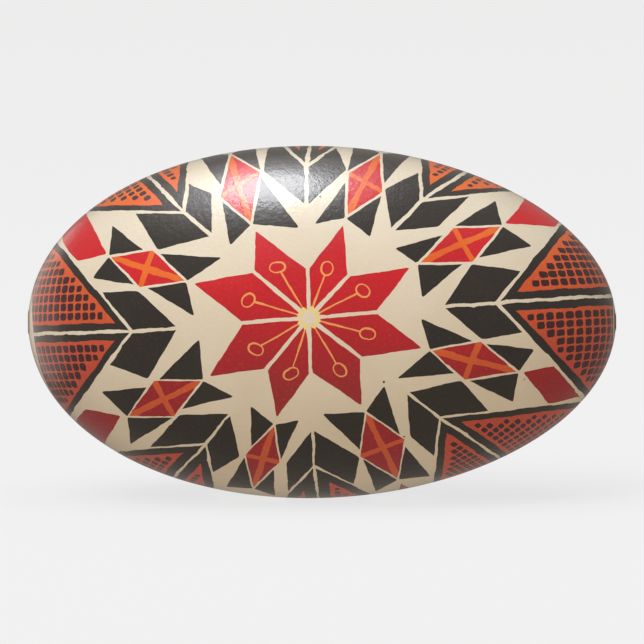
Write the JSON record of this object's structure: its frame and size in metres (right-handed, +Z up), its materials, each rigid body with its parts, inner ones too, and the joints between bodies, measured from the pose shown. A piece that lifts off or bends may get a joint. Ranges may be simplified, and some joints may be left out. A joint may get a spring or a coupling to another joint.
{
  "type": "pysanka decorated egg",
  "caption": "Blown goose egg dyed by wax resist with an eight-petal star, arrow spokes, net triangles and diamonds, varnished, its blow holes sealed with wax.",
  "frame": {"origin": "the middle of the egg's bounding box in X and Y, on the surface it rests on", "axes": "+Z up, +X along the egg's long axis towards its pointed end, -Y towards the viewer of the front star"},
  "size_m": [0.09, 0.054, 0.054],
  "materials": {
    "varnish": "clear glossy oil varnish",
    "dyed_cuticle": "aniline dyes in the shell's skin: cream, orange, red and black",
    "eggshell": "bare calcite shell, matt, cream white",
    "membrane": "dried shell membrane, matt, off-white",
    "beeswax": "beeswax, yellow-brown, slightly soft sheen"
  },
  "bodies": {
    "root": {"varnish_coat": "varnish", "dyed_cuticle": "dyed_cuticle", "eggshell": "eggshell", "outer_membrane": "membrane", "inner_membrane": "membrane", "blunt_end_wax_plug": "beeswax", "pointed_end_wax_plug": "beeswax"}
  },
  "joints": []
}
